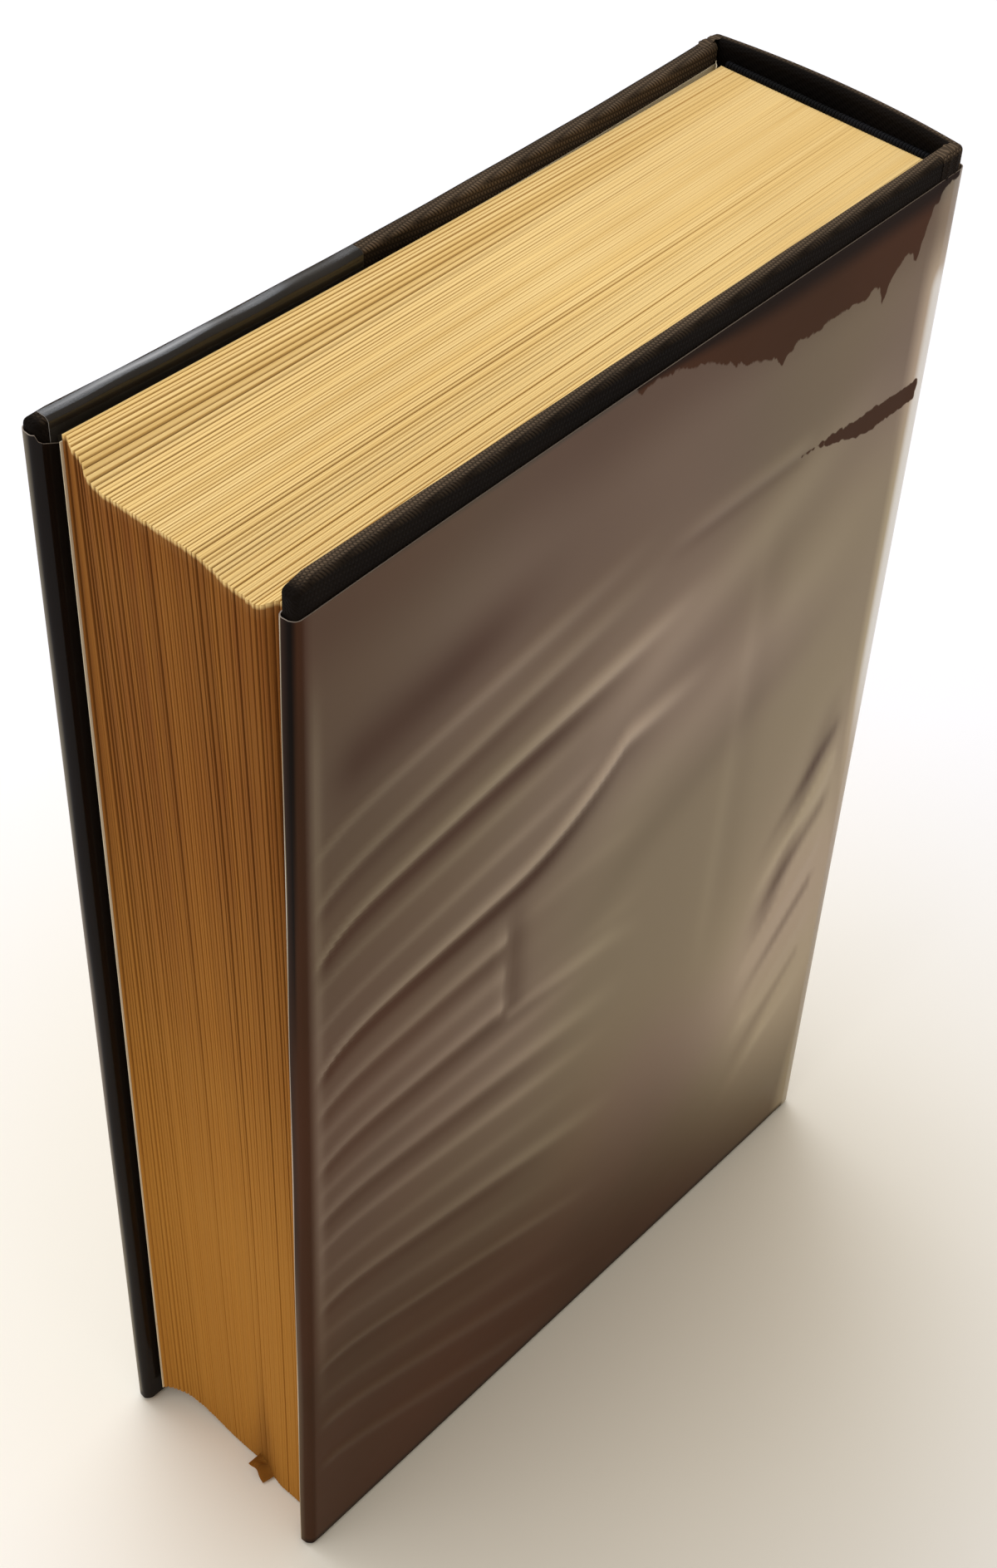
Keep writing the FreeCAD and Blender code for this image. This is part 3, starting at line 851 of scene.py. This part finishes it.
def joint_cloth(side):
    """The case cloth where it crosses the hinge, over the outside and the head edge of the case."""
    proud, shoulder = 0.04, CASE_HEIGHT - CLOTH_RADIUS
    wide = CLOTH_RADIUS + proud
    turns = [(CLOTH_DEPTH - proud, z) for z in np.linspace(0.6, shoulder, 30)]
    turns += [(CLOTH_DEPTH + CLOTH_RADIUS - wide * math.cos(turn), shoulder + wide * math.sin(turn))
              for turn in np.linspace(0, math.pi / 2, 7)[1:]]
    turns += [(depth, CASE_HEIGHT + proud) for depth in (1.3, 1.7, 2.0)]
    piece, u, v = flat_sheet(SIDE_NAME[side] + "_joint_cloth", 16, len(turns) - 1)
    depth, z = along_line(v, turns)
    x = 57.6 + 4.0 * u
    head = ease((z - CASE_HEIGHT + 6) / 6)
    pucker = head * (0.28 * hump(x - 59.4 - 0.5 * (depth - 1), 0.35)
                     + 0.16 * hump(x - 60.9 + 0.3 * depth, 0.3))
    outwards, upwards = pucker * (z < CASE_HEIGHT - 0.4), pucker * (z > CASE_HEIGHT - 0.8)
    write_points(piece, on_cover(side, x, depth - outwards, z + upwards))
    write_uv(piece, x, z)
    # The head edge is painted brown: partly rubbing, partly painted light on its lit top.
    paint(piece, worn=ease((z - CASE_HEIGHT + 1.0) / 0.8))
    thicken(piece, 0.03, 1.0)
    dress(piece, [book_cloth_flat], 60)
    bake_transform(piece)


joint_cloth(FRONT)
joint_cloth(BACK)


# Endpapers

def pastedown(side):
    """Endpaper glued to the inside of a board, down onto it between the turned-in cloth."""
    piece, u, v = flat_sheet(SIDE_NAME[side] + "_pastedown_paper", 70, 110)
    inset, cloth_x = 3.0, FORE_X + CLOTH_DEPTH
    x = cloth_x + inset + (COVER_END_X - cloth_x - inset) * u
    z = inset + (CASE_HEIGHT - 2 * inset) * v
    edge = np.minimum(np.minimum(z, CASE_HEIGHT - z), x - cloth_x) - TURN_IN
    depth = INSIDE_DEPTH + PAPER_THICKNESS + 0.02 - 0.34 * ease(edge / 1.2)
    write_points(piece, on_cover(side, x, depth, z))
    thicken(piece, PAPER_THICKNESS, -side)
    dress(piece, [endpaper])
    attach(piece, COVER_BODY[side])
    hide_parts(SIDE_NAME[side] + "_pastedown")


def flyleaf(side):
    """Free endpaper, lying on the leaves and bent with them."""
    piece, u, v = flat_sheet(SIDE_NAME[side] + "_free_endpaper", 40, 40)
    fore_x = LEAF_FORE_X - (0.1 if side == FRONT else 0.9)
    x = fore_x + (LEAF_SPINE_X - fore_x) * u
    z = LEAF_TAIL + (LEAF_HEIGHT - 0.3) * v - (0 if side == FRONT else 0.5 * LEAF_SAG * (1 - u))
    y = LEAVES_FRONT_Y + leaf_fan(x) + 0.06 if side == FRONT else LEAVES_BACK_Y - 0.02 + 0 * x
    write_points(piece, flared(x, y, z))
    thicken(piece, PAPER_THICKNESS, side)
    dress(piece, [endpaper])
    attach(piece, "book")
    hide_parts(SIDE_NAME[side] + "_flyleaf")


def endpaper_fold(side):
    """The fold of an endpaper, from the free leaf to the one on the board, where the cover turns."""
    piece, u, v = flat_sheet(SIDE_NAME[side] + "_endpaper_fold", 12, 30)
    x = 58.1 + 1.5 * u
    leaf_y = LEAVES_FRONT_Y + 0.62 + 0.22 if side == FRONT else -LEAVES_BACK_Y + 0.18
    board_y = HALF_THICKNESS - INSIDE_DEPTH - 2 * PAPER_THICKNESS - 0.04
    y = side * (leaf_y + (board_y - leaf_y) * ease(u))
    write_points(piece, flared(x, y, LEAF_TAIL + LEAF_HEIGHT * v))
    thicken(piece, 0.08, 0.0)
    dress(piece, [endpaper])
    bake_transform(piece)


for cover_side in (FRONT, BACK):
    pastedown(cover_side)
    flyleaf(cover_side)
    endpaper_fold(cover_side)


# Bands and linings of the spine

def woven_band(name, edge_z, outwards, node):
    """Headband or tailband: thread wound round a cord, sewn to a tape on the spine edge of the leaves."""
    start_y, end_y, turns = LEAVES_BACK_Y + 0.4, LEAVES_FRONT_Y - 0.2, 68
    bead = Vector((LEAF_SPINE_X + 0.60, start_y, edge_z + outwards * 0.10)) * MM
    clear_selection()
    bpy.ops.mesh.primitive_torus_add(major_segments=14, minor_segments=7, major_radius=0.42 * MM,
                                     minor_radius=0.26 * MM, location=bead, rotation=(math.pi / 2, 0.25, 0))
    piece = new_piece(name)
    with_modifier(piece, "ARRAY", count=turns, use_relative_offset=False, use_constant_offset=True,
                  constant_offset_displace=(0, (end_y - start_y) / (turns - 1) * MM, 0))
    low_z, high_z = sorted((edge_z - outwards * 0.2, edge_z - outwards * 12))
    tape = block(name + "_tape", (LEAF_SPINE_X + 0.02, LEAVES_BACK_Y, low_z),
                 (LEAF_SPINE_X + 0.28, LEAVES_FRONT_Y, high_z))
    round_edges(tape, lambda points: True, 0.06, 2)
    pick(piece)
    tape.select_set(True)
    bpy.ops.object.join()
    dress(piece, [band_thread], 50)
    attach(piece, "book")
    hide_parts(node)


woven_band("headband_thread", LEAF_HEAD, 1, "headband")
woven_band("tailband_thread", LEAF_TAIL, -1, "tailband")


def repaint(node, material):
    """Gives a CAD node that stays its finish."""
    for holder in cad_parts[node].material_slots:
        holder.material = material


repaint("spine_mull", gauze_material())
repaint("spine_lining", kraft)
repaint("spine_strip", greyboard)


# Jacket

PANEL_COLUMNS, PANEL_ROWS = {FRONT: 80, BACK: 100}, {FRONT: 110, BACK: 268}
CORNER_RADIUS, FLAP_HEAD = 1.0, 201.3
HEAD_RISE, FLAP_RISE = {FRONT: 1.9, BACK: -0.9}, {FRONT: 2.6, BACK: 0.0}

# Ridges of the back panel: how high each starts at the fore-edge, and its strength
RIDGES = {161: 0.45, 152: 0.55, 141.5: 0.95, 136.5: 0.30, 128.5: 0.35, 119: 1.10, 111.5: 0.60, 106: 0.30,
          99.5: 0.65, 93.5: 0.30, 87.5: 0.55, 80.5: 0.45, 73.5: 0.25, 66: 0.60, 58.5: 0.25, 50: 0.55,
          42: 0.25, 34: 0.50, 22.5: 0.45}

# Folds next to the spine: how high each meets the spine's side, and its strength
SPINE_FOLDS = {97: -0.35, 88: 0.45, 80: -0.35, 70: 0.50, 61: -0.40, 52: 0.40, 43: -0.25, 36: 0.2}


def jacket_line(panel_columns):
    """Plan of half the jacket, from the middle of the spine to the end of the flap: x and depth."""
    corner, fore_x, quarter = CORNER_RADIUS, FORE_X + CORNER_RADIUS, math.pi / 2
    points = [(SPINE_CORNER_X + SPINE_BOW * (1 - ((HALF_THICKNESS - depth) / HALF_THICKNESS) ** 2), depth)
              for depth in np.linspace(HALF_THICKNESS, corner, 22)[:-1]]
    points += [(SPINE_CORNER_X - corner + corner * math.cos(turn), corner - corner * math.sin(turn))
               for turn in np.linspace(0, quarter, 7)[:-1]]
    for start, end, count in ((SPINE_CORNER_X - corner, 58.0, 10), (58.0, FORE_X + 5, panel_columns),
                              (FORE_X + 5, fore_x, 8)):
        points += [(x, 0.0) for x in np.linspace(start, end, count)[:-1]]
    points += [(fore_x - corner * math.sin(turn), corner - corner * math.cos(turn))
               for turn in np.linspace(0, quarter, 6)]
    points += [(fore_x - corner * math.cos(turn), FLAP_DEPTH - corner + corner * math.sin(turn))
               for turn in np.linspace(0, quarter, 6)]
    return points + [(x, FLAP_DEPTH) for x in np.linspace(fore_x, FORE_X + FLAP_WIDTH, 22)[1:]]


def crease(x, z, start, climb, slope, width, height, reach, turn=0.0):
    """One ripple of the paper: it starts at the fore-edge, climbs, runs at a slope and may turn up."""
    away = x - FORE_X - 1.5
    line = start + climb * (1 - np.exp(-np.clip(away, 0, None) / 4.0)) + slope * away
    line += turn * np.clip(away - 38, 0, 24) ** 2
    fading = ease(away / 4.0 + 0.1) * (1 - ease((away - reach) / 30.0))
    return height * fading * hump(z - line, width * (1 + 0.016 * away))


def back_ripples(x, z):
    """Ridges, above 0, and hollows, below 0, that run in from the fore-edge of the back panel."""
    chance = np.random.default_rng(3)
    ripple = 0 * x
    for start, height in RIDGES.items():
        slope = -0.38 + 0.57 * float(ease((start - 20) / 130)) + chance.uniform(-0.02, 0.02)
        climb, reach, turn = 1.5 + 4 * height, 26 + 26 * height, 0.016 if height > 1 else 0.0
        width = chance.uniform(0.85, 1.25)
        ripple += crease(x, z, start, climb, slope, width, height, reach, turn)
        if height > 0.5:
            below = start - 1.6 - width
            ripple -= crease(x, z, below, climb, slope, 1.9, 0.75 * height, 0.8 * reach, turn)
    return ripple


def back_panel(x, z):
    """All unevenness of the back panel: ripples, an upright crease, soft waves and folds at the spine."""
    crease_x = -24.6 + 0.03 * (108 - z)
    window = between(z, 99, 2.5, 117, 9)
    ripple = back_ripples(x, z) * (1 - 0.9 * window * between(x - crease_x, 0, 0.8, 14, 22))
    ripple += window * (0.26 * hump(x - crease_x + 0.6, 1.0) - 0.38 * hump(x - crease_x - 2.4, 2.4))
    fold = 99.8 - 0.09 * np.clip(x + 19, 0, None) - 0.25 * np.clip(x, 0, None)
    fold_width = 1.3 + 0.035 * np.clip(x + 24, 0, None)
    ripple += 0.50 * hump(z - fold, fold_width) * between(x, -24.5, 2, -14, 24)
    line = 170.4 - 0.02 * (33 - x)
    ripple += 0.22 * (hump(z - line - 1.6, 1.8) - hump(z - line + 0.6, 1.4)) * between(x, 2, 12, 31, 6)
    seam_x = 25 + 0.03 * (z - 90)
    seam = 0.08 * hump(x - seam_x, 1.6) - 0.06 * hump(x - seam_x - 4.5, 3.0)
    ripple += seam * between(z, 62, 30, 140, 30)
    ripple -= 0.60 * hump(z - 178.6 - 0.19 * (x + 30), 5.4) * between(x, -62, 8, -38, 25)
    for middle, strength in ((150, 0.2), (139, -0.1), (126, 0.12), (112, -0.12)):
        ripple += strength * hump(z - middle - 0.45 * x, 5.0) * between(x, -15, 20, 30, 30)
    for start, height in SPINE_FOLDS.items():
        ripple += height * hump(z - start - 1.05 * (x - 50), 2.6) * between(x, 36, 14, 57, 3)
    ripple -= 0.3 * hump(x - 44 - 0.25 * (z - 70), 3.0) * between(z, 56, 14, 100, 16)
    return ripple * between(z, 2, 8, 196, 5)


def front_panel(x, z):
    """The front panel isn't seen in the photo: a few soft ripples of the same kind."""
    ripple = 0 * x
    for start, slope, reach in ((40, -0.2, 50), (75, -0.05, 60), (112, 0.1, 45), (150, 0.12, 55)):
        ripple += crease(x, z, start, 3.5, slope, 3.6, 0.5, reach)
    return ripple * between(z, 2, 8, 196, 5)


def lifted_film(x, z):
    """Ragged patches near the spine's head where the film is gone: 0.5 at their edge, more inside."""
    lower = 201.4 - 10.0 * ease((x + 3) / 30) + 10.5 * ease((x - 47) / 15)
    lower = lower - 2.4 * hump(x - 24.5, 0.9) - 3.0 * hump(x - 47.5, 0.9) - 5.0 * hump(x - 54.5, 1.3)
    head = np.minimum(z - lower, 3 * (x + 7))
    top, bottom = 170.6 - 0.07 * (x - 33.6), 170.2 - 4.8 * ease((x - 32) / 20)
    tongue = np.minimum(np.minimum(z - bottom, top - z), np.minimum(x - 33.0, 61.0 - x)) * 1.6
    return np.clip(0.5 + np.maximum(head, tongue) / 8, 0, 1)


def corner_highlight(z):
    """How strongly the corner of the spine is painted whitish: a painted highlight where the rounded corner
    catches the bright surroundings.
    """
    return (0.55 + 0.40 * ease((z - 50) / 70)) * (1 - 0.55 * ease((z - 184) / 12))


def film_haze(side, x, z, ripple):
    """How whitish the panel is painted: partly the old film's haze, partly painted reflection. The ridges of
    the ripples and the side by the spine get painted highlights; low down and in the hollows it is painted
    clear and dark, as a painted reflection of the floor's shade.
    """
    if side == FRONT:
        return np.clip(0.26 + 0.35 * ripple, 0, 1)
    level = 0.13 + 0.34 * ease((x + 66) / 80) + 0.13 * ease((x - 10) / 40)
    level *= (1 - 0.42 * ease((z - 150) / 30) * ease((x + 40) / 30))
    level = level * (1 - 0.45 * ease((z - 186) / 14)) + 0.50 * hump(x - 50, 17) * hump(z - 52, 30)
    level *= ease((z - 21 + 0.0037 * (x + 60) ** 2) / 80)
    level += 0.22 * hump(x - 55, 8) * hump(z - 82, 26)
    level = level * (0.80 + 1.10 * ripple) + 0.09 * np.clip(ripple, 0, 1)
    level += 0.10 * hump(x - FORE_X - 2.9, 0.9) * between(z, 30, 60, 176, 20)
    level = np.clip(level, 0, 0.76) * ease((x - FORE_X - 1.0) / 1.6)
    return np.maximum(level, corner_highlight(z) * ease((x - 53.0) / 8.5) ** 1.5)


def jacket_sheet(side):
    """Half the jacket: spine, joint, panel, fore-edge and flap in one sheet."""
    line = jacket_line(PANEL_COLUMNS[side])
    piece, u, v = flat_sheet("jacket_" + SIDE_NAME[side] + "_sheet", len(line) - 1, PANEL_ROWS[side])
    x, depth = along_line(u, line)
    steps = np.hypot(*np.diff(line, axis=0).T)
    along = along_line(u, np.concatenate([[0], np.cumsum(steps)]))
    back, rolled, away = side == BACK, x < 0, x - FORE_X
    flap_head = FLAP_HEAD + FLAP_RISE[side] * np.exp(-away / 2.5)
    head = np.where(depth > FLAP_DEPTH - 0.3, flap_head, JACKET_HEAD + HEAD_RISE[side] * np.exp(-away / 30))
    z = JACKET_TAIL + (head - JACKET_TAIL) * v
    outside, corner = (depth < 1.0) & (x < 62), (depth < 1.0) & (x >= 61.0)
    spine = (depth >= 1.0) & (x > 60)
    panel = ((depth == 0.0) & (x < 58.5)) * (1 - ease((x - 55) / 3))
    ripple = (back_panel if back else front_panel)(x, z) * panel
    stand = 0.45 * np.clip(ripple + 0.1, 0, None) * panel * ease(away / 3)
    roll = 0.25 * between(depth, 0.3, 1.2, 2.0, 0.8) * rolled
    bulge = 0.7 * ease((x - 61.0) / 1.75) - roll * (1 + 0.3 * np.sin(z / 9.0))
    write_points(piece, on_cover(side, x + bulge, depth - stand, z))
    write_uv(piece, along, z)

    round_edge = ease((0.6 + 3.2 * (1 - z / CASE_HEIGHT) ** 1.5 - depth) / 0.5) * back * rolled
    rim_light = 0.93 * (depth > 2.2) * (depth < 2.8) * (x < FORE_X + 1) * back
    at_tail = ease((z - JACKET_TAIL - 0.3) / 0.9)
    hazy_and_sheen = film_haze(side, x, z, ripple) * at_tail
    reach = 0.8 + 4.2 * ease((x + 8) / 35)
    clear = (1 - 0.85 * ease((z - JACKET_HEAD + reach) / (0.8 * reach)) * back) * at_tail
    far_side = 0.35 * ease((depth - 1.6) / 0.4) * back * rolled
    # The fore-edge rolls and the flap are painted near-black as painted shade, with the lower part and far side
    # of the back roll left partly brown. Separately, the colour is also darker along the lowest millimetre at
    # the tail and under the back panel's head edge.
    shown = np.where(spine | corner | (outside & (x > FORE_X + 1.2)), 1.0,
                     np.maximum(0.8 * round_edge, far_side) * (depth < 3.2))
    # The jacket's painted whitish colour: film haze with painted reflection on the panel, and painted
    # highlights at the spine's corner and along the inner edge of the back roll.
    paint(piece, lifted=lifted_film(x, z) * (depth < 0.5) * (x < 62) * back,
          haze=np.select([spine, corner, outside], [0.25, corner_highlight(z), hazy_and_sheen],
                         np.maximum(rim_light, 0.10 * round_edge)),
          shown=shown * np.where(outside, clear, 1),
          film=np.select([corner, x < FORE_X + 1.2, spine | outside], [0.7, 0.03 if back else 0.2, 0.15], 0.2))
    thicken(piece, JACKET_SHEET, -side, [laminated, cut_paper])
    dress(piece, [], 50)
    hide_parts("jacket_" + SIDE_NAME[side], "jacket_spine")
    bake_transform(piece)


def film_lap():
    """Clear film of the front flap, lapped over the head edge of the front board."""
    top, radius = CASE_HEIGHT + 0.06, CLOTH_RADIUS
    middle_depth = INSIDE_DEPTH + 0.2 - radius
    turns = [(depth, top) for depth in (0.9, 1.2, 1.5, 1.8)]
    turns += [(middle_depth + radius * math.sin(turn), top - radius + radius * math.cos(turn))
              for turn in np.linspace(0, math.pi / 2, 8)]
    turns += [(PASTEDOWN_DEPTH + 0.05, z) for z in (204.4, 203.6, 202.6, 201.2, 199.8)]
    piece, u, v = flat_sheet("jacket_film_lap", 60, len(turns) - 1)
    depth, z = along_line(v, turns)
    x = FORE_X + 2.1 + (FLAP_WIDTH - 2.1) * u
    z = z + 0.06 * np.sin(x * 0.45) * (z > CASE_HEIGHT - 0.5)
    write_points(piece, on_cover(FRONT, x, depth, z))
    # Painted highlight: a whitish line along the outer rounded part of the lap, strongest about 17 mm in from
    # the fore-edge.
    paint(piece, haze=hump(depth - 1.45, 0.32) * (0.12 + 0.60 * hump(x + 47, 12)))
    thicken(piece, 0.09, 1.0, [clear_film, film_rim])
    dress(piece, [], 60)
    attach(piece, "front_cover")


jacket_sheet(FRONT)
jacket_sheet(BACK)
film_lap()


# Stage, light and camera

def floor_and_light():
    """Pale floor, painted warmer and darker round the book as painted shade, soft lamps from above and behind,
    and a plain world.
    """
    clear_selection()
    bpy.ops.mesh.primitive_plane_add(size=8)
    floor = new_piece("studio_floor")
    material, tree, shader, place, _ = new_material("pale_floor")
    cloud = mottled(tree, place, 5.0)
    far = add_node(tree, "ShaderNodeVectorMath", {0: place}, operation="LENGTH").outputs["Value"]
    pale = tint(tree, cloud["Cloud"], (0.955, 0.950, 1.0, 1), (0.970, 0.965, 1.0, 1))
    # Painted shade: within about 0.2 m of the book the floor is painted a darker, warmer beige.
    colour = tint(tree, fade(tree, far, 0.05, 0.21), (0.935, 0.875, 0.765, 1), pale)
    set_shader(tree, shader, Base_Color=colour, Roughness=0.7)
    floor.data.materials.append(material)
    for name, place, size, power in (("soft_lamp_behind", (0.22, 0.85, 1.70), 1.6, 23.6),
                                     ("soft_lamp_left", (-1.2, 0.3, 1.2), 1.0, 4.0)):
        bpy.ops.object.light_add(type="AREA", location=place)
        lamp = bpy.context.object
        lamp.name = name
        lamp.data.size = size
        lamp.data.energy = power
        lamp.data.color = (0.84, 0.905, 1.0)
        lamp.rotation_euler = (Vector((0, 0, 0.1)) - Vector(place)).to_track_quat("-Z", "Y").to_euler()
    world = bpy.data.worlds.new("plain_world")
    bpy.context.scene.world = world
    world.use_nodes = True
    feed(world.node_tree, world.node_tree.nodes["Background"],
         {"Color": (1.0, 0.935, 0.835, 1), "Strength": 0.62})


def photo_camera():
    """Camera at the photograph's viewpoint, as fitted to the corners of the case."""
    right, up, back = ((0.6646761, -0.7460578, 0.0400435), (0.5071054, 0.4898516, 0.7091471),
                       (-0.5486801, -0.4510468, 0.7039226))
    place = (-0.21219, -0.17255, 0.38631)
    bpy.ops.object.camera_add()
    camera = bpy.context.object
    camera.name = "photo_camera"
    rows = [(*axes, spot) for *axes, spot in zip(right, up, back, place)]
    camera.matrix_world = Matrix(rows + [(0, 0, 0, 1)])
    camera.data.sensor_width = 36
    camera.data.lens = 59.33
    camera.data.clip_start = 0.01
    bpy.context.scene.camera = camera


floor_and_light()
photo_camera()
bpy.context.scene.view_settings.view_transform = "Standard"
